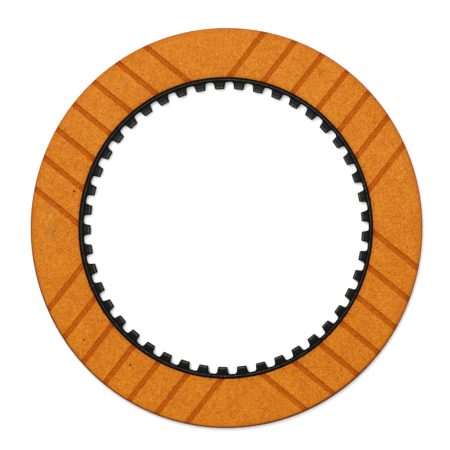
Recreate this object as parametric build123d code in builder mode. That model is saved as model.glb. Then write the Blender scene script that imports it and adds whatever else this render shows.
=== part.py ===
from build123d import *
import os
from math import radians, tan

# Friction disc of a wet clutch: a splined steel plate between two grooved paper facings.
# Millimetres. The disc's axis is Z, its middle plane is Z = 0, and a tooth space is centred on +X.

# Disc
outer_diameter = 190.0
plate_thickness = 1.6
facing_thickness = 0.8
rim_overhang = 0.25  # how far the facings stand out past the plate's rim

# Internal spline
tooth_count = 45
module_size = 3.0
tip_depth = 1.6  # from the pitch circle in to the tooth tips
root_depth = 1.8  # from the pitch circle out to the roots
space_width = 4.42  # between two teeth, on the pitch circle
space_taper = 7.4  # degrees, each flank to the middle line of its space
root_fillet = 1.1
tip_break = 0.4  # chamfer on the two corners of each tip
bore_lead = 0.3  # chamfer on the tips where the hub enters, on both faces

# Coined ridge between the spline and the facing, on both faces
ridge_offset = 0.5  # from the roots to the foot of the ridge
ridge_width = 1.2
ridge_crown = 0.4  # flat along its top
ridge_height = 0.25
ridge_gap = 0.7  # from the ridge to the facing

# Facings
rim_break = 0.45  # chamfer on the friction side of the rim
bore_break = 0.25  # chamfer on the friction side of the bore

# Oil grooves, in groups of parallel grooves
groove_groups = 4
grooves_per_group = 7
groove_pitch = 14.4
groove_width = 2.75  # at the friction face
groove_depth = 0.4
groove_wall_angle = 60.0  # degrees, from the groove's floor
groove_angle = 50.8  # degrees, from +X to the middle groove of the first group

# Sizes that follow
rim_radius = outer_diameter / 2
pitch_radius = module_size * tooth_count / 2
tip_radius = pitch_radius - tip_depth
root_radius = pitch_radius + root_depth
half_plate = plate_thickness / 2
ridge_foot = root_radius + ridge_offset
ridge_end = ridge_foot + ridge_width
ridge_flank = (ridge_width - ridge_crown) / 2
ridge_top = half_plate + ridge_height
plate_rim = rim_radius - rim_overhang
facing_bore_radius = ridge_end + ridge_gap
facing_width = rim_radius - facing_bore_radius
friction_face = half_plate + facing_thickness
groove_start = 0.65 * facing_bore_radius  # inside the bore, clear of the next group's bars
plan_margin = 1.0  # how far cutting shapes run past what they cut


def space_half_width(radius):
    """Half the gap between two teeth, at a radius."""
    return space_width / 2 - (radius - pitch_radius) * tan(radians(space_taper))


# One tooth space, from inside the tips to the root, with its root corners rounded.
with BuildSketch() as tooth_space:
    space_mouth = tip_radius - plan_margin
    with BuildLine():
        Polyline(
            (space_mouth, -space_half_width(space_mouth)),
            (root_radius, -space_half_width(root_radius)),
            (root_radius, space_half_width(root_radius)),
            (space_mouth, space_half_width(space_mouth)),
            close=True,
        )
    make_face()
    fillet(tooth_space.vertices().group_by(Axis.X)[-1], root_fillet)

# The spline seen along the axis: a ring cut by the tooth spaces, with its tip corners broken.
with BuildSketch() as spline_plan:
    Circle(rim_radius + plan_margin)
    Circle(tip_radius, mode=Mode.SUBTRACT)
    with PolarLocations(0, tooth_count):
        add(tooth_space.sketch, mode=Mode.SUBTRACT)
    tip_limit = (tip_radius + pitch_radius) / 2
    tip_corners = spline_plan.vertices().filter_by(lambda corner: Vector(corner).length < tip_limit)
    chamfer(tip_corners, tip_break)

# Plate: half of its section on each side of the middle plane, turned, then cut to the spline.
with BuildPart() as core_plate:
    with BuildSketch(Plane.XZ):
        with BuildLine():
            Polyline(
                (tip_radius, 0),
                (tip_radius, half_plate - bore_lead),
                (tip_radius + bore_lead, half_plate),
                (ridge_foot, half_plate),
                (ridge_foot + ridge_flank, ridge_top),
                (ridge_end - ridge_flank, ridge_top),
                (ridge_end, half_plate),
                (plate_rim, half_plate),
                (plate_rim, 0),
            )
            mirror(about=Plane.XZ)
        make_face()
    revolve(axis=Axis.Z)
    extrude(spline_plan.sketch, amount=plate_thickness, both=True, mode=Mode.INTERSECT)
core_plate.part.label = "core_plate"

# One group of grooves, as bars that run outward along +X through the facing.
with BuildPart() as groove_bars:
    with BuildSketch(Plane.YZ.offset(groove_start)):
        with Locations((0, friction_face)):
            with GridLocations(groove_pitch, 0, grooves_per_group, 1):
                Trapezoid(
                    groove_width,
                    groove_depth,
                    groove_wall_angle,
                    rotation=180,
                    align=(Align.CENTER, Align.MIN),
                )
    extrude(amount=rim_radius)

# Facing: a ring with its edges broken on the friction side, cut by the groups of grooves.
with BuildPart() as front_facing:
    with BuildSketch(Plane.XZ) as facing_section:
        with Locations((facing_bore_radius, half_plate)):
            Rectangle(facing_width, facing_thickness, align=(Align.MIN, Align.MIN))
        bore_corner, rim_corner = facing_section.vertices().group_by(Axis.Y)[-1].sort_by(Axis.X)
        chamfer(bore_corner, bore_break)
        chamfer(rim_corner, rim_break)
    revolve(axis=Axis.Z)
    with PolarLocations(0, groove_groups, start_angle=groove_angle):
        add(groove_bars.part, mode=Mode.SUBTRACT)
front_facing.part.label = "front_facing"

with BuildPart() as back_facing:
    mirror(front_facing.part, about=Plane.XY)
back_facing.part.label = "back_facing"

os.makedirs("parts", exist_ok=True)
export_step(core_plate.part, "parts/core_plate.step")
export_step(front_facing.part, "parts/front_facing.step")
export_step(back_facing.part, "parts/back_facing.step")
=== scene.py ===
from math import cos, pi, radians, sin, sqrt, tan

import bpy
import numpy as np
from mathutils import Matrix, Vector


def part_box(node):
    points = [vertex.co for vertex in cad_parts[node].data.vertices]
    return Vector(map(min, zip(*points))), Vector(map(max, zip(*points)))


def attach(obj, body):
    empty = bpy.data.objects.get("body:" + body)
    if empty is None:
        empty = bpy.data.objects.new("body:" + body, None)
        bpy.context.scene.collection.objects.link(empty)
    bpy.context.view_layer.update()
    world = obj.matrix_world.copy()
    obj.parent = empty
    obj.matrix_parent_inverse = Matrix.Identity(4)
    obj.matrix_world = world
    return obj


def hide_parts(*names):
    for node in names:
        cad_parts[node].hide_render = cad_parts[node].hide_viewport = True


# Friction disc of a wet clutch: a dark splined plate between two grooved facings of amber friction paper.
# Metres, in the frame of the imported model: the axis is Z and a tooth space is centred on +X.

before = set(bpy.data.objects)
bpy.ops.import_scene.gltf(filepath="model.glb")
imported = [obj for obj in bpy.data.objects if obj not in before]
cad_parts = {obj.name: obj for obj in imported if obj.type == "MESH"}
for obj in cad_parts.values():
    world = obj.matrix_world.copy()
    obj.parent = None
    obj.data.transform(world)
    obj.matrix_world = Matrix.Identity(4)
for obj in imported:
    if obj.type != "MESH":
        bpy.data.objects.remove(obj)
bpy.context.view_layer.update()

MM = 0.001

# Places read from the frame
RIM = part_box("front_facing")[1].x
FACE_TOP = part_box("front_facing")[1].z
PLATE_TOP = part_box("front_facing")[0].z
PLATE_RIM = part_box("core_plate")[1].x

# Spline
TOOTH_COUNT = 45
PITCH_RADIUS = 67.5 * MM
TIP_RADIUS = 65.9 * MM
ROOT_RADIUS = 69.3 * MM
SPACE_WIDTH = 4.42 * MM
SPACE_TAPER = radians(7.4)
ROOT_FILLET = 1.1 * MM
TIP_ROUND = 0.5 * MM
EDGE_ROLL_WIDTH = 0.42 * MM  # rolled edge of the blanked teeth, across the face
EDGE_ROLL_DEPTH = 0.3 * MM
# Half a tooth space, were its flanks carried on to the axis
WALL_AT_AXIS = SPACE_WIDTH / 2 + PITCH_RADIUS * tan(SPACE_TAPER)

# Coined ridge
RIDGE_FOOT = 69.8 * MM
RIDGE_WIDTH = 1.2 * MM
RIDGE_FLANK = 0.5 * MM  # across each of its slopes
RIDGE_HEIGHT = 0.25 * MM

# Facings
FACING_BORE = 71.7 * MM
RIM_ROUND = 0.45 * MM
BORE_ROUND = 0.25 * MM
GROOVE_GROUPS = 4
GROOVES_PER_GROUP = 7
GROOVE_PITCH = 14.4 * MM
GROOVE_WIDTH = 2.9 * MM  # over its rounded edges
GROOVE_WALL = 0.7 * MM  # across a groove's sloping side
GROOVE_DEPTH = 0.4 * MM
GROOVE_ANGLE = radians(50.8)

# Fineness of the surfaces
SHARP_ANGLE = radians(50)  # an edge that turns by more than this is shaded sharp
ROOT_POINTS = 3
FILLET_POINTS = 7
FLANK_POINTS = 4
CORNER_POINTS = 6
TIP_POINTS = 4
ARC_POINTS = 6  # along a rolled or rounded edge
RIDGE_POINTS = 13
GAP_POINTS = 9  # between two grooves
SHARE_POINTS = 13  # from a group's last line to halfway to the next group
FLAT_POINTS = 30  # across the friction face
# Flat strips that keep the shading of a slope off the face beside it
FLAT_BESIDE_ROLL = 0.04 * MM
FLAT_BESIDE_RIDGE = 0.05 * MM
# Lines on one side of a groove, by their distance from its middle
BESIDE_GROOVE = np.array([0, 0.4, 0.65, 0.78, 0.9, 1.0, 1.1, 1.2, 1.3, 1.4, 1.7]) * MM


def ring_mesh(name, rings, attributes):
    """A closed surface from rings of points. rings[i, j] is point j of ring i, and both ways wrap round."""
    ring_count, point_count = rings.shape[:2]
    i, j = np.meshgrid(np.arange(ring_count), np.arange(point_count), indexing="ij")
    here = i * point_count
    there = (i + 1) % ring_count * point_count
    next_j = (j + 1) % point_count
    faces = np.stack([here + j, here + next_j, there + next_j, there + j], -1).reshape(-1, 4)
    mesh = bpy.data.meshes.new(name)
    mesh.from_pydata(rings.reshape(-1, 3), [], faces)
    for label, values in attributes.items():
        layer = mesh.attributes.new(label, "FLOAT", "POINT")
        layer.data.foreach_set("value", values.astype(np.float32).ravel())
    mesh.shade_smooth()
    mesh.set_sharp_from_angle(angle=SHARP_ANGLE)
    mesh.update()
    piece = bpy.data.objects.new(name, mesh)
    bpy.context.scene.collection.objects.link(piece)
    return piece


def smooth_step(x):
    """0 below 0, 1 above 1, and an S-curve between."""
    x = np.clip(x, 0, 1)
    return x * x * (3 - 2 * x)


def circle_points(angles):
    """Points of the unit circle at these angles."""
    return np.stack([np.cos(angles), np.sin(angles)], -1)


# ---------------------------------------------------------------- plate


def tooth_outline():
    """The spline's outline, counter-clockwise: half a tooth space is a straight root, the root fillet, the
    straight flank, the tip's corner arc and half the tip circle. It is mirrored, then turned to every
    space."""
    ny, nx = cos(SPACE_TAPER), sin(SPACE_TAPER)
    fillet_x = ROOT_RADIUS - ROOT_FILLET
    flank_root = fillet_x + ROOT_FILLET * nx
    fillet_y = WALL_AT_AXIS - flank_root * tan(SPACE_TAPER) - ROOT_FILLET * ny
    root = np.stack([np.full(ROOT_POINTS, ROOT_RADIUS), np.linspace(0, fillet_y, ROOT_POINTS)], 1)
    turn = np.linspace(0, pi / 2 - SPACE_TAPER, FILLET_POINTS)[1:]
    fillet = np.array([fillet_x, fillet_y]) + ROOT_FILLET * circle_points(turn)
    # The corner arc's centre lies TIP_ROUND inside the tooth from the flank, and from the tip circle.
    start = np.array([TIP_ROUND * nx, WALL_AT_AXIS + TIP_ROUND * ny])
    along = np.array([ny, -nx])
    half_b = start @ along
    reach = -half_b + sqrt(half_b**2 - start @ start + (TIP_RADIUS + TIP_ROUND) ** 2)
    centre = start + reach * along
    flank_end = centre - TIP_ROUND * np.array([nx, ny])
    flank = fillet[-1] + np.linspace(0, 1, FLANK_POINTS)[1:, None] * (flank_end - fillet[-1])
    centre_angle = np.arctan2(centre[1], centre[0])
    turn = np.linspace(-pi / 2 - SPACE_TAPER, -pi + centre_angle, CORNER_POINTS)[1:]
    corner = centre + TIP_ROUND * circle_points(turn)
    tip = TIP_RADIUS * circle_points(np.linspace(centre_angle, pi / TOOTH_COUNT, TIP_POINTS)[1:])
    half = np.concatenate([root, fillet, flank, corner, tip])
    other_half = half[-2:0:-1] * [1, -1]
    pitch = np.concatenate([other_half, half])
    angles = 2 * pi * np.arange(TOOTH_COUNT) / TOOTH_COUNT
    turned_x = np.cos(angles)[:, None] * pitch[:, 0] - np.sin(angles)[:, None] * pitch[:, 1]
    turned_y = np.sin(angles)[:, None] * pitch[:, 0] + np.cos(angles)[:, None] * pitch[:, 1]
    return np.stack([turned_x.ravel(), turned_y.ravel()], 1)


def make_plate():
    """Rings from the spline's outline outward. Height is the plate's face, less a quarter-ellipse roll
    beside the outline, plus the ridge: S-shaped slopes up to a narrow flat crown. The lower side mirrors
    the upper."""
    outline = tooth_outline()
    tangent = np.roll(outline, -1, 0) - np.roll(outline, 1, 0)
    tangent /= np.linalg.norm(tangent, axis=1)[:, None]
    into_steel = np.stack([tangent[:, 1], -tangent[:, 0]], 1)
    roll = EDGE_ROLL_WIDTH * (1 - np.cos(np.linspace(0, pi / 2, ARC_POINTS)))
    offsets = np.append(roll, EDGE_ROLL_WIDTH + FLAT_BESIDE_ROLL)
    rolled = outline + offsets[:, None, None] * into_steel
    outer_angles = np.arctan2(rolled[-1, :, 1], rolled[-1, :, 0])

    ridge_radii = RIDGE_FOOT + RIDGE_WIDTH * np.linspace(0, 1, RIDGE_POINTS)
    before = ridge_radii[0] - FLAT_BESIDE_RIDGE
    after = ridge_radii[-1] + FLAT_BESIDE_RIDGE
    radii = np.concatenate([[before], ridge_radii, [after, FACING_BORE, PLATE_RIM]])
    circles = radii[:, None, None] * circle_points(outer_angles)
    plan = np.concatenate([rolled, circles])

    into_roll = 1 - np.minimum(offsets / EDGE_ROLL_WIDTH, 1)
    left = np.concatenate([into_roll, np.zeros(len(radii))])
    drop = EDGE_ROLL_DEPTH * (1 - np.sqrt(1 - left**2))
    radius = np.linalg.norm(plan, axis=2)
    from_foot = np.minimum(radius - RIDGE_FOOT, RIDGE_FOOT + RIDGE_WIDTH - radius)
    crown = smooth_step(from_foot / RIDGE_FLANK)
    height = PLATE_TOP - drop[:, None] + RIDGE_HEIGHT * crown

    upper = np.concatenate([plan, height[..., None]], 2)
    lower = upper[::-1] * [1, 1, -1]
    rings = np.concatenate([lower, upper])[:, ::-1]
    edge = np.broadcast_to(left[:, None], radius.shape)
    edge = np.concatenate([edge[::-1], edge])[:, ::-1]
    crown = np.concatenate([crown[::-1], crown])[:, ::-1]
    return ring_mesh("splined_plate", rings, {"rolled_edge": edge, "ridge_crown": crown})


# ---------------------------------------------------------------- facings


def groove_lines():
    """Lines that run across the facing, for a quarter of it. Inside the group each is a line parallel to the
    middle groove, given by its distance from it. Outside, it is a share of the way from the group's last
    line to halfway to the next group. Returns the distances and those shares."""
    clear = BESIDE_GROOVE[-1]
    middle_gap = np.linspace(clear, GROOVE_PITCH - clear, GAP_POINTS)[1:-1]
    one_pitch = np.concatenate([BESIDE_GROOVE, middle_gap, GROOVE_PITCH - BESIDE_GROOVE[:0:-1]])
    side = GROOVES_PER_GROUP // 2
    pitches = [one_pitch + k * GROOVE_PITCH for k in range(side)]
    right = np.concatenate(pitches + [side * GROOVE_PITCH + BESIDE_GROOVE])
    distances = np.concatenate([-right[:0:-1], right])
    after = np.linspace(0, 1, SHARE_POINTS)[1:]
    before = after[::-1][1:]
    first = np.full(len(before), distances[0])
    last = np.full(len(after), distances[-1])
    line_distance = np.concatenate([first, distances, last])
    line_share = np.concatenate([-before, np.zeros(len(distances)), after])
    return line_distance, line_share


def make_facing(name, side):
    """Lines from groove_lines() crossed with a section: up the bore, over its rounded edge, across the
    friction face, over the rounded rim, down it and back underneath. In a groove the section is pressed
    thinner by an S-shaped wall. side is 1 for the front and -1 for the back."""
    turn = np.linspace(0, pi / 2, ARC_POINTS)
    thickness = FACE_TOP - PLATE_TOP
    bore_r = FACING_BORE + BORE_ROUND * (1 - np.cos(turn))
    bore_z = thickness - BORE_ROUND * (1 - np.sin(turn))
    rim_r = RIM - RIM_ROUND * (1 - np.cos(turn[::-1]))
    rim_z = thickness - RIM_ROUND * (1 - np.sin(turn[::-1]))
    flat_r = np.linspace(bore_r[-1], rim_r[0], FLAT_POINTS)[1:-1]
    flat_z = np.full(len(flat_r), thickness)
    rounding = turn / (pi / 2)
    section_r = np.concatenate([[FACING_BORE, FACING_BORE], bore_r, flat_r, rim_r, [RIM, RIM]])
    section_z = np.concatenate([[0, bore_z[0] / 2], bore_z, flat_z, rim_z, [rim_z[-1] / 2, 0]])
    edge_part = np.concatenate([[1, 1], 1 - rounding, np.zeros(len(flat_r)), rounding, [1, 1]])

    line_distance, line_share = groove_lines()
    parallel = np.arcsin(line_distance / section_r[:, None])
    angle = parallel + np.abs(line_share) * (np.sign(line_share) * pi / GROOVE_GROUPS - parallel)
    to_groove = line_distance - GROOVE_PITCH * np.round(line_distance / GROOVE_PITCH)
    depth = smooth_step((GROOVE_WIDTH / 2 - np.abs(to_groove)) / GROOVE_WALL)
    depth = np.where(line_share == 0, depth, 0)
    pressed = section_z[:, None] * (1 - depth * GROOVE_DEPTH / thickness)

    groups = GROOVE_ANGLE + 2 * pi * np.arange(GROOVE_GROUPS) / GROOVE_GROUPS
    around = (groups[:, None, None] + angle).transpose(1, 0, 2).reshape(len(section_r), -1)
    height = np.tile(pressed, (1, GROOVE_GROUPS))
    r = section_r[:, None]
    rings = np.stack([r * np.cos(around), r * np.sin(around), side * (PLATE_TOP + height)], 2)
    groove = np.broadcast_to(np.tile(depth, GROOVE_GROUPS), around.shape)
    edge = np.broadcast_to(edge_part[:, None], around.shape)
    if side > 0:
        rings, groove, edge = rings[::-1], groove[::-1], edge[::-1]
    return ring_mesh(name, rings, {"groove": groove, "edge": edge})


# ---------------------------------------------------------------- materials


class Finish:
    """A material being built: short calls that add a node and join it up."""

    def __init__(self, name):
        self.material = bpy.data.materials.new(name)
        self.material.use_nodes = True
        self.tree = self.material.node_tree
        self.shader = self.tree.nodes["Principled BSDF"]
        self.place = self.node("ShaderNodeTexCoord").outputs["Object"]

    def node(self, kind, **settings):
        """A new node of this kind, with its settings."""
        made = self.tree.nodes.new(kind)
        for key, value in settings.items():
            setattr(made, key, value)
        return made

    def join(self, value, socket):
        """Links another node's output to a socket, or writes a plain value into it."""
        if isinstance(value, bpy.types.NodeSocket):
            self.tree.links.new(value, socket)
        else:
            socket.default_value = value

    def maths(self, operation, a, b=0.0, c=0.0):
        """The result of a Math node."""
        made = self.node("ShaderNodeMath", operation=operation)
        for value, socket in zip((a, b, c), made.inputs):
            self.join(value, socket)
        return made.outputs[0]

    def times(self, a, b):
        return self.maths("MULTIPLY", a, b)

    def most(self, a, b):
        """The larger of two values."""
        return self.maths("MAXIMUM", a, b)

    def attribute(self, name):
        """A number that the piece's mesh gives for each of its points."""
        return self.node("ShaderNodeAttribute", attribute_name=name).outputs["Fac"]

    def stretched(self, turn, scale):
        """Object coordinates scaled along X, Y and Z, then turned about Z. The scale is what stretches a
        pattern, and the turn only gives it other details."""
        made = self.node("ShaderNodeMapping")
        made.inputs["Rotation"].default_value = (0, 0, turn)
        made.inputs["Scale"].default_value = scale
        self.join(self.place, made.inputs["Vector"])
        return made.outputs[0]

    def noise(self, size, detail=2.0, roughness=0.5, where=None):
        """Cloudy noise from 0 to 1 with features of about that size, in metres."""
        made = self.node("ShaderNodeTexNoise")
        self.join(where or self.place, made.inputs["Vector"])
        made.inputs["Scale"].default_value = 1 / size
        made.inputs["Detail"].default_value = detail
        made.inputs["Roughness"].default_value = roughness
        return made.outputs[0]

    def between(self, value, low, high, start=0.0, end=1.0):
        """value mapped smoothly from low..high to start..end."""
        made = self.node("ShaderNodeMapRange", interpolation_type="SMOOTHSTEP")
        for number, socket in zip((value, low, high, start, end), made.inputs):
            self.join(number, socket)
        return made.outputs[0]

    def band(self, value, start, full, fading, gone):
        """1 where value is from full to fading, 0 below start and above gone, and smooth between."""
        return self.times(self.between(value, start, full), self.between(value, gone, fading))

    def mix(self, amount, a, b, blend="MIX"):
        """Colour b laid over colour a by amount, or multiplied into it where blend is MULTIPLY."""
        made = self.node("ShaderNodeMix", data_type="RGBA", blend_type=blend)
        self.join(amount, made.inputs["Factor"])
        self.join(a, made.inputs["A"])
        self.join(b, made.inputs["B"])
        return made.outputs["Result"]

    def stained(self, amount, colour, stain):
        """colour multiplied by stain, by amount."""
        return self.mix(amount, colour, self.mix(1.0, colour, stain, "MULTIPLY"))

    def axes(self):
        """The object coordinates X and Y, in metres."""
        split = self.node("ShaderNodeSeparateXYZ")
        self.join(self.place, split.inputs[0])
        return split.outputs[0], split.outputs[1]

    def radius(self):
        """Distance from the disc's axis, in metres."""
        flat = self.node("ShaderNodeVectorMath", operation="MULTIPLY")
        self.join(self.place, flat.inputs[0])
        flat.inputs[1].default_value = (1, 1, 0)
        length = self.node("ShaderNodeVectorMath", operation="LENGTH")
        self.join(flat.outputs[0], length.inputs[0])
        return length.outputs["Value"]

    def from_point(self, point, operation):
        """The offset (SUBTRACT) or the distance (DISTANCE) from a point."""
        made = self.node("ShaderNodeVectorMath", operation=operation)
        self.join(self.place, made.inputs[0])
        self.join(point, made.inputs[1])
        return made.outputs["Value" if operation == "DISTANCE" else "Vector"]

    def turned(self, offset, angle):
        """An offset turned about Z by angle, as its three axes."""
        made = self.node("ShaderNodeVectorRotate", rotation_type="Z_AXIS")
        self.join(offset, made.inputs["Vector"])
        self.join(angle, made.inputs["Angle"])
        split = self.node("ShaderNodeSeparateXYZ")
        self.join(made.outputs[0], split.inputs[0])
        return tuple(split.outputs)

    def cells(self, spacing):
        """Voronoi cells about spacing apart: their node, and three random numbers for each cell."""
        made = self.node("ShaderNodeTexVoronoi", voronoi_dimensions="2D")
        self.join(self.place, made.inputs["Vector"])
        made.inputs["Scale"].default_value = 1 / spacing
        random = self.node("ShaderNodeSeparateColor")
        self.join(made.outputs["Color"], random.inputs[0])
        return made, tuple(random.outputs)

    def near(self, place, radius, ragged):
        """1 at a point of the front facing, given in millimetres, and 0 beyond radius from it. Noise makes
        the outline ragged by that share of radius."""
        noise_size = 0.8 * radius
        solid = 0.45 * radius
        x, y = place
        distance = self.from_point((x * MM, y * MM, FACE_TOP), "DISTANCE")
        swing = ragged * radius
        wander = self.maths("MULTIPLY_ADD", self.noise(noise_size), swing, -swing / 2)
        return self.between(self.maths("ADD", distance, wander), radius, solid)

    def hairs(self, spacing, length, width, share):
        """Short bent hairs, at most one in each Voronoi cell: 1 on a hair, 0 beside it. A hair runs through
        the cell's point at a random turn, to half its length each way, and bends by the square of the
        distance along it. The cells are about spacing apart, and share of them have a hair."""
        bend_at_length = 0.25
        shortest = 0.5
        cells, (random_turn, random_share, random_length) = self.cells(spacing)
        offset = self.from_point(cells.outputs["Position"], "SUBTRACT")
        along, across, _ = self.turned(offset, self.times(random_turn, 2 * pi))
        bend = self.times(self.times(along, along), bend_at_length / length)
        beside = self.maths("ABSOLUTE", self.maths("SUBTRACT", across, bend))
        reach = self.times(self.maths("ADD", random_length, shortest), length / 2)
        thin = self.between(beside, width / 2, width / 4)
        past_end = self.maths("SUBTRACT", self.maths("ABSOLUTE", along), reach)
        ended = self.between(past_end, width, 0)
        there = self.maths("LESS_THAN", random_share, share)
        return self.times(self.times(thin, ended), there)

    def dots(self, spacing, size, share):
        """Round dots up to size across, at most one in each Voronoi cell: 1 on a dot, 0 beside it. The cells
        are about spacing apart, and share of them have a dot."""
        solid = 0.6
        cells, (_, random_share, random_size) = self.cells(spacing)
        reach = self.times(self.maths("ADD", random_size, 1.0), size / spacing / 4)
        dot = self.between(cells.outputs["Distance"], reach, self.times(reach, solid))
        return self.times(dot, self.maths("LESS_THAN", random_share, share))

    def scratch(self, place, turn, length, half_width):
        """1 on a thin straight scratch centred on a point of the front facing, given in millimetres, and 0
        beside it."""
        x, y = place
        offset = self.from_point((x * MM, y * MM, FACE_TOP), "SUBTRACT")
        along, across, above = (self.maths("ABSOLUTE", axis) for axis in self.turned(offset, -turn))
        thin = self.between(across, half_width, half_width / 3)
        ended = self.between(along, length / 2, length / 4)
        return self.times(self.times(thin, ended), self.maths("LESS_THAN", above, PLATE_TOP))

    def into_steel(self, radius):
        """How far a point of the plate is in from the spline's outline: from the flank or the root, joined
        smoothly where they meet, or from the tip circle where that is nearer."""
        x, y = self.axes()
        half_pitch = pi / TOOTH_COUNT
        turned = self.maths("WRAP", self.maths("ARCTAN2", y, x), half_pitch, -half_pitch)
        turned = self.maths("ABSOLUTE", turned)
        across = self.times(radius, self.maths("SINE", turned))
        along = self.times(radius, self.maths("COSINE", turned))
        wall = self.maths("MULTIPLY_ADD", along, -tan(SPACE_TAPER), WALL_AT_AXIS)
        from_flank = self.times(self.maths("SUBTRACT", across, wall), cos(SPACE_TAPER))
        from_root = self.maths("SUBTRACT", radius, ROOT_RADIUS)
        from_side = self.maths("SMOOTH_MAX", from_flank, from_root, ROOT_FILLET)
        return self.maths("MINIMUM", from_side, self.maths("SUBTRACT", radius, TIP_RADIUS))

    def bump(self, height, distance, strength):
        """Fine relief in the shading: height 0 to 1 stands for up to distance."""
        made = self.node("ShaderNodeBump")
        made.inputs["Strength"].default_value = strength
        made.inputs["Distance"].default_value = distance
        self.join(height, made.inputs["Height"])
        self.join(made.outputs[0], self.shader.inputs["Normal"])


def rgb(red, green, blue):
    return (red, green, blue, 1.0)


# Friction paper
AMBER = rgb(0.415, 0.116, 0.004)
PALE_AMBER = rgb(0.447, 0.141, 0.008)
# Painted shade: a tint that browns the paper towards -Y
SHADED_SIDE_TINT = rgb(0.97, 0.91, 0.15)
LIGHT_GRAIN = rgb(0.51, 0.195, 0.018)
DARK_GRAIN = rgb(0.32, 0.06, 0.0004)
LIGHT_FLECK = rgb(0.54, 0.27, 0.07)
DARK_FLECK = rgb(0.22, 0.036, 0.0004)
DARK_DOT = rgb(0.15, 0.025, 0.001)
LIGHT_DOT = rgb(0.6, 0.34, 0.12)
DARK_FIBRE = rgb(0.24, 0.05, 0.002)
LIGHT_FIBRE = rgb(0.56, 0.25, 0.05)
BROWN_HAIR = rgb(0.12, 0.026, 0.002)
RUBBED_AMBER = rgb(0.33, 0.072, 0.001)
GROOVE_STAIN = rgb(0.79, 0.54, 0.12)
GROOVE_END_STAIN = rgb(0.69, 0.37, 0.04)
GROOVE_DASH_STAIN = rgb(0.5, 0.22, 0.05)
SOOT = rgb(0.02, 0.008, 0.004)
SMUDGE_GREY = rgb(0.16, 0.09, 0.03)
SCRATCH_BROWN = rgb(0.09, 0.03, 0.008)
SPECK_BLACK = rgb(0.03, 0.01, 0.004)
# Brown of the edges, also used as painted shade along the rim
EDGE_BROWN_AND_RIM_SHADE = rgb(0.08, 0.024, 0.003)
# How far each of these reaches from the bore or the rim
BORE_WEAR = 2.5 * MM
RIM_WEAR = 4 * MM
GROOVE_END = 3 * MM
# The painted shade line along the rim
RIM_SHADE_LINE = 1.25 * MM
RIM_SHADE_LINE_SOLID = 0.4 * MM
# The three layers of fibres lie along X, and the turns only make them differ
FIBRE_TURNS = (0.35, 1.3, 2.4)
FIBRE_SCALE = (600, 2600, 1)  # per metre along X, Y and Z

# Dark steel
STEEL = rgb(0.009, 0.0105, 0.0095)
DARK_STEEL = rgb(0.0045, 0.0053, 0.0047)
BRIGHT_GRIT = rgb(0.028, 0.031, 0.029)
DARK_GRIT = rgb(0.001, 0.001, 0.001)
STEEL_SHADE_TINT = rgb(0.45, 0.45, 0.4)
# Painted highlights behind the tips and on the ridge's crown
HIGHLIGHT_STEEL = rgb(0.036, 0.036, 0.032)
RUSTY_HIGHLIGHT_STEEL = rgb(0.042, 0.027, 0.016)
CROWN_HIGHLIGHT_STEEL = rgb(0.03, 0.029, 0.019)
PAINTED_GLINT = rgb(0.09, 0.086, 0.068)
# Painted shade at the roots, in the valley and along the outline
PAINTED_SHADE_BLACK = rgb(0.001, 0.001, 0.001)
SHADED_SHEARED_STEEL = rgb(0.006, 0.003, 0.002)
RIM_RESIN = rgb(0.3, 0.095, 0.012)

FLOOR_GREY = rgb(0.72, 0.722, 0.729)

# Marks on the front facing: a row starts with the mark's x and y in millimetres
SPECKS = [  # place, radius
    ((-73.4, 18.3), 0.8 * MM),
    ((-69.6, -52.4), 0.6 * MM),
    ((-46.9, -64.7), 0.7 * MM),
    ((72.2, 10.6), 0.5 * MM),
]
SCRATCHES = [  # place, turn, length, half width
    ((-72.4, 31.0), 1.1, 6.0 * MM, 0.2 * MM),
    ((-74.3, 9.7), 0.9, 2.6 * MM, 0.2 * MM),
    ((-83.7, -1.0), 0.7, 3.2 * MM, 0.2 * MM),
    ((32.5, -72.9), 1.9, 2.0 * MM, 0.25 * MM),
]
SMUDGES = [  # place, radius
    ((-83.7, -0.2), 5.0 * MM),
    ((-86.0, 11.0), 4.0 * MM),
    ((66.8, -29.0), 2.0 * MM),
]


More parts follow.
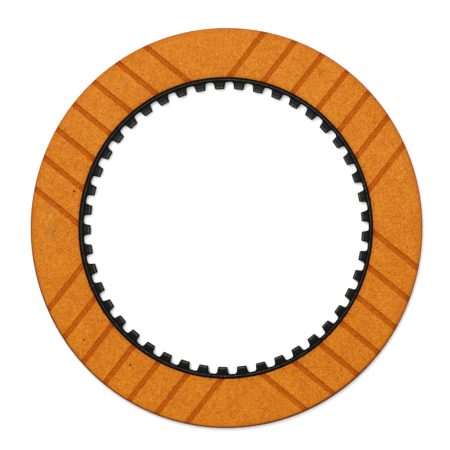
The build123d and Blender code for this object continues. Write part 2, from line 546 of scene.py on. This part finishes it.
def paper_pulp(finish, grain, y):
    """Cloudy amber, browner towards -Y as painted shade and paler towards +Y as painted sheen, with fine
    light and dark flecks, fibres along X, and brown hairs that gather in places."""
    clouds = finish.noise(14 * MM, detail=4, roughness=0.6)
    colour = finish.mix(finish.between(clouds, 0.36, 0.64), AMBER, PALE_AMBER)
    # Painted shade and sheen: browner towards -Y, paler towards +Y, where the light comes from.
    colour = finish.stained(finish.between(y, 60 * MM, -85 * MM), colour, SHADED_SIDE_TINT)
    colour = finish.mix(finish.between(grain, 0.5, 0.7, end=0.65), colour, LIGHT_GRAIN)
    colour = finish.mix(finish.between(grain, 0.5, 0.3, end=0.8), colour, DARK_GRAIN)
    flecks = finish.noise(0.45 * MM, detail=2, roughness=0.6)
    colour = finish.mix(finish.between(flecks, 0.56, 0.7, end=0.7), colour, LIGHT_FLECK)
    colour = finish.mix(finish.between(flecks, 0.44, 0.28), colour, DARK_FLECK)
    dark_dots = finish.dots(spacing=1.0 * MM, size=0.56 * MM, share=0.36)
    colour = finish.mix(finish.times(dark_dots, 0.75), colour, DARK_DOT)
    light_dots = finish.dots(spacing=1.7 * MM, size=0.5 * MM, share=0.2)
    colour = finish.mix(finish.times(light_dots, 0.6), colour, LIGHT_DOT)
    for turn in FIBRE_TURNS:
        streak = finish.noise(size=1.0, detail=1, where=finish.stretched(turn, FIBRE_SCALE))
        colour = finish.mix(finish.between(streak, 0.62, 0.78, end=0.35), colour, DARK_FIBRE)
        colour = finish.mix(finish.between(streak, 0.36, 0.24, end=0.35), colour, LIGHT_FIBRE)
    gathered = finish.between(finish.noise(26 * MM, detail=2), 0.46, 0.62, start=0.15, end=0.8)
    long_hairs = finish.hairs(spacing=3.8 * MM, length=2.6 * MM, width=0.18 * MM, share=0.25)
    short_hairs = finish.hairs(spacing=2.1 * MM, length=1.0 * MM, width=0.18 * MM, share=0.25)
    hairs = finish.times(finish.most(long_hairs, short_hairs), gathered)
    return finish.mix(hairs, colour, BROWN_HAIR)


def front_marks(finish, colour):
    """The smudges, scratches and specks of the front facing."""
    for place, radius in SMUDGES:
        smudge = finish.times(finish.near(place, radius, ragged=1.2), 0.16)
        colour = finish.mix(smudge, colour, SMUDGE_GREY)
    for place, turn, length, half_width in SCRATCHES:
        scratch = finish.times(finish.scratch(place, turn, length, half_width), 0.7)
        colour = finish.mix(scratch, colour, SCRATCH_BROWN)
    for place, radius in SPECKS:
        colour = finish.mix(finish.near(place, radius, ragged=0.8), colour, SPECK_BLACK)
    return colour


def friction_paper():
    """Amber friction paper, darker in the grooves and along the bore and the rim."""
    finish = Finish("friction_paper")
    x, y = finish.axes()
    radius = finish.radius()
    grain = finish.noise(1.2 * MM, detail=4, roughness=0.8)
    colour = paper_pulp(finish, grain, y)
    # Rubbed darker towards the bore and the rim.
    near_bore = finish.between(radius, FACING_BORE + BORE_WEAR, FACING_BORE)
    near_rim = finish.between(radius, RIM - RIM_WEAR, RIM)
    colour = finish.mix(finish.times(finish.most(near_bore, near_rim), 0.35), colour, RUBBED_AMBER)
    # The pressed grooves are darker still, most at their ends, with darker dashes.
    groove_end = finish.most(near_bore, finish.between(radius, RIM - GROOVE_END, RIM))
    groove_stain = finish.mix(groove_end, GROOVE_STAIN, GROOVE_END_STAIN)
    dashes = finish.between(finish.noise(0.9 * MM, detail=3, roughness=0.75), 0.52, 0.64, end=0.85)
    groove_stain = finish.mix(dashes, groove_stain, GROOVE_DASH_STAIN)
    colour = finish.stained(finish.between(finish.attribute("groove"), 0.0, 0.15), colour, groove_stain)
    # Soot lies along the bore.
    soot = finish.times(finish.dots(spacing=1.6 * MM, size=0.8 * MM, share=0.45), near_bore)
    colour = finish.mix(soot, colour, SOOT)
    colour = front_marks(finish, colour)
    # The edges are brown, and painted shade darkens the rounded rim most towards -Y and a little towards -X.
    edge = finish.between(finish.attribute("edge"), 0.1, 1.0, end=0.3)
    rim_shade_side = finish.maths("MULTIPLY_ADD", x, 0.35, y)
    rim_shade_side = finish.between(rim_shade_side, 25 * MM, -80 * MM, start=0.12, end=0.9)
    rim_shade_line = finish.times(finish.between(radius, RIM - RIM_SHADE_LINE, RIM - RIM_SHADE_LINE_SOLID), rim_shade_side)
    colour = finish.mix(finish.most(edge, rim_shade_line), colour, EDGE_BROWN_AND_RIM_SHADE)
    finish.join(colour, finish.shader.inputs["Base Color"])
    finish.join(finish.between(grain, 0.2, 0.8, start=0.6, end=0.8), finish.shader.inputs["Roughness"])
    finish.shader.inputs["Specular IOR Level"].default_value = 0.05
    finish.bump(grain, distance=0.06 * MM, strength=0.5)
    return finish.material


def dark_steel():
    """Dark oiled steel, with painted highlights on the tips and the ridge, and painted shade in its corners.
    """
    finish = Finish("dark_steel")
    radius = finish.radius()
    # Oiled steel with bright and dark grit, and painted shade that darkens it towards -Y.
    clouds = finish.noise(2.5 * MM, detail=4, roughness=0.65)
    grit = finish.noise(0.45 * MM, detail=3, roughness=0.7)
    colour = finish.mix(finish.between(clouds, 0.35, 0.65), DARK_STEEL, STEEL)
    colour = finish.mix(finish.between(grit, 0.5, 0.68, end=0.8), colour, BRIGHT_GRIT)
    colour = finish.mix(finish.between(grit, 0.5, 0.34, end=0.8), colour, DARK_GRIT)
    # Painted shade: the steel is darker towards -Y.
    steel_shade_side = finish.between(finish.axes()[1], 65 * MM, -75 * MM)
    colour = finish.stained(steel_shade_side, colour, STEEL_SHADE_TINT)
    # Painted highlights: a bright line behind the tips and brighter patches on the ridge's crown, rust-tinted
    # in places.
    stain = finish.between(finish.noise(2.2 * MM, detail=4, roughness=0.65), 0.5, 0.66, start=0.2, end=0.8)
    highlight = finish.mix(stain, HIGHLIGHT_STEEL, RUSTY_HIGHLIGHT_STEEL)
    from_tip = finish.maths("SUBTRACT", radius, TIP_RADIUS)
    tip_highlight = finish.band(from_tip, start=0.3 * MM, full=0.5 * MM, fading=0.9 * MM, gone=1.35 * MM)
    colour = finish.mix(finish.times(tip_highlight, 0.85), colour, highlight)
    crown = finish.between(finish.attribute("ridge_crown"), 0.5, 0.95)
    crown_highlight_patches = finish.between(finish.noise(1.2 * MM, detail=4, roughness=0.75), 0.4, 0.58, start=0.1, end=0.85)
    colour = finish.mix(finish.times(crown, crown_highlight_patches), colour, finish.mix(stain, CROWN_HIGHLIGHT_STEEL, highlight))
    # Painted glints: bright dots on the crown.
    painted_glints = finish.times(finish.dots(spacing=1.5 * MM, size=0.45 * MM, share=0.25), crown)
    colour = finish.mix(painted_glints, colour, PAINTED_GLINT)
    # Painted shade, near black: from the roots to the ridge's foot, in the valley beside the facing, and
    # along the spline's outline and its rolled, sheared edges.
    foot = finish.band(
        radius,
        start=RIDGE_FOOT - 1.3 * MM,
        full=RIDGE_FOOT - 0.5 * MM,
        fading=RIDGE_FOOT + 0.1 * MM,
        gone=RIDGE_FOOT + 0.3 * MM,
    )
    valley = finish.between(radius, RIDGE_FOOT + 0.75 * RIDGE_WIDTH, RIDGE_FOOT + RIDGE_WIDTH)
    outline = finish.times(finish.between(finish.into_steel(radius), 0.75 * MM, 0.35 * MM), 0.88)
    sheared_and_shaded = finish.between(finish.attribute("rolled_edge"), 0.5, 0.95)
    painted_shade = finish.most(finish.most(foot, valley), finish.most(outline, sheared_and_shaded))
    colour = finish.mix(painted_shade, colour, finish.mix(sheared_and_shaded, PAINTED_SHADE_BLACK, SHADED_SHEARED_STEEL))
    # Resin has run over the plate's rim between the facings.
    resin = finish.between(radius, PLATE_RIM - 0.2 * MM, PLATE_RIM - 0.1 * MM)
    colour = finish.mix(resin, colour, RIM_RESIN)
    metal = finish.maths("SUBTRACT", 1.0, finish.most(painted_shade, resin))
    finish.join(colour, finish.shader.inputs["Base Color"])
    finish.join(metal, finish.shader.inputs["Metallic"])
    finish.join(finish.between(grit, 0.3, 0.7, start=0.34, end=0.5), finish.shader.inputs["Roughness"])
    finish.shader.inputs["Specular IOR Level"].default_value = 0.03
    finish.bump(grit, distance=0.02 * MM, strength=0.4)
    return finish.material


def pale_floor():
    """A plain pale floor that glows a little."""
    finish = Finish("pale_floor")
    finish.shader.inputs["Base Color"].default_value = FLOOR_GREY
    finish.shader.inputs["Roughness"].default_value = 0.8
    finish.shader.inputs["Specular IOR Level"].default_value = 0.1
    finish.shader.inputs["Emission Color"].default_value = rgb(1.0, 1.0, 1.0)
    finish.shader.inputs["Emission Strength"].default_value = 0.12
    return finish.material


# ---------------------------------------------------------------- the disc

plate = make_plate()
front = make_facing("front_friction_ring", 1)
back = make_facing("back_friction_ring", -1)
plate.data.materials.append(dark_steel())
paper = friction_paper()
front.data.materials.append(paper)
back.data.materials.append(paper)
for piece, node, slot in (
    (plate, "core_plate", "plate_steel"),
    (front, "front_facing", "friction_paper"),
    (back, "back_facing", "friction_paper"),
):
    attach(piece, "root")
    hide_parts(node)

# ---------------------------------------------------------------- studio

FLOOR_REACH = 6.0
FLOOR_Z = -FACE_TOP
floor_corners = [(x * FLOOR_REACH, y * FLOOR_REACH, FLOOR_Z) for x, y in ((-1, -1), (1, -1), (1, 1), (-1, 1))]
floor_mesh = bpy.data.meshes.new("floor")
floor_mesh.from_pydata(floor_corners, [], [(0, 1, 2, 3)])
floor = bpy.data.objects.new("floor", floor_mesh)
bpy.context.scene.collection.objects.link(floor)
floor.data.materials.append(pale_floor())


def softbox(name, place, size, power):
    """A square area light that faces the disc's centre."""
    light = bpy.data.lights.new(name, "AREA")
    light.size = size
    light.energy = power
    lamp = bpy.data.objects.new(name, light)
    lamp.location = place
    lamp.rotation_euler = Vector(place).to_track_quat("Z", "Y").to_euler()
    bpy.context.scene.collection.objects.link(lamp)


softbox("overhead", place=(-0.4, 1.0, 4.0), size=4.8, power=262.0)
softbox("key", place=(-0.45, 1.1, 0.95), size=0.9, power=9.0)
softbox("fill", place=(4.0, -0.5, 1.25), size=2.5, power=112.5)

world = bpy.data.worlds.new("studio")
bpy.context.scene.world = world
world.use_nodes = True
surroundings = world.node_tree.nodes["Background"]
surroundings.inputs["Color"].default_value = rgb(0.97, 0.98, 1.0)
surroundings.inputs["Strength"].default_value = 0.25
bpy.context.scene.view_settings.view_transform = "Standard"

# Camera: far off on a long lens, looking down on the disc from slightly to its right.
FRAME_WIDTH = 450.0  # pixels
DISC_RADIUS_PX = 200.1
DISC_CENTRE_PX = (226.0, 228.0)
CAMERA_ROLL = radians(0.65)
CAMERA_LEAN = radians(12.4)
CAMERA_DISTANCE = 7.5
FAR_CLIP = 100.0
camera_data = bpy.data.cameras.new("camera")
camera = bpy.data.objects.new("camera", camera_data)
right = Vector((cos(CAMERA_ROLL), -sin(CAMERA_ROLL), 0))
up = Vector((sin(CAMERA_ROLL), cos(CAMERA_ROLL), 0))
to_camera = sin(CAMERA_LEAN) * right + cos(CAMERA_LEAN) * Vector((0, 0, 1))
camera_right = up.cross(to_camera)
metres_per_px = RIM / DISC_RADIUS_PX
aim = (FRAME_WIDTH / 2 - DISC_CENTRE_PX[0]) * metres_per_px * camera_right
aim += (DISC_CENTRE_PX[1] - FRAME_WIDTH / 2) * metres_per_px * up
axes = Matrix((camera_right, up, to_camera)).transposed().to_4x4()
camera.matrix_world = Matrix.Translation(aim + CAMERA_DISTANCE * to_camera) @ axes
camera_data.lens = camera_data.sensor_width / FRAME_WIDTH * CAMERA_DISTANCE / metres_per_px
camera_data.clip_end = FAR_CLIP
bpy.context.scene.collection.objects.link(camera)
bpy.context.scene.camera = camera
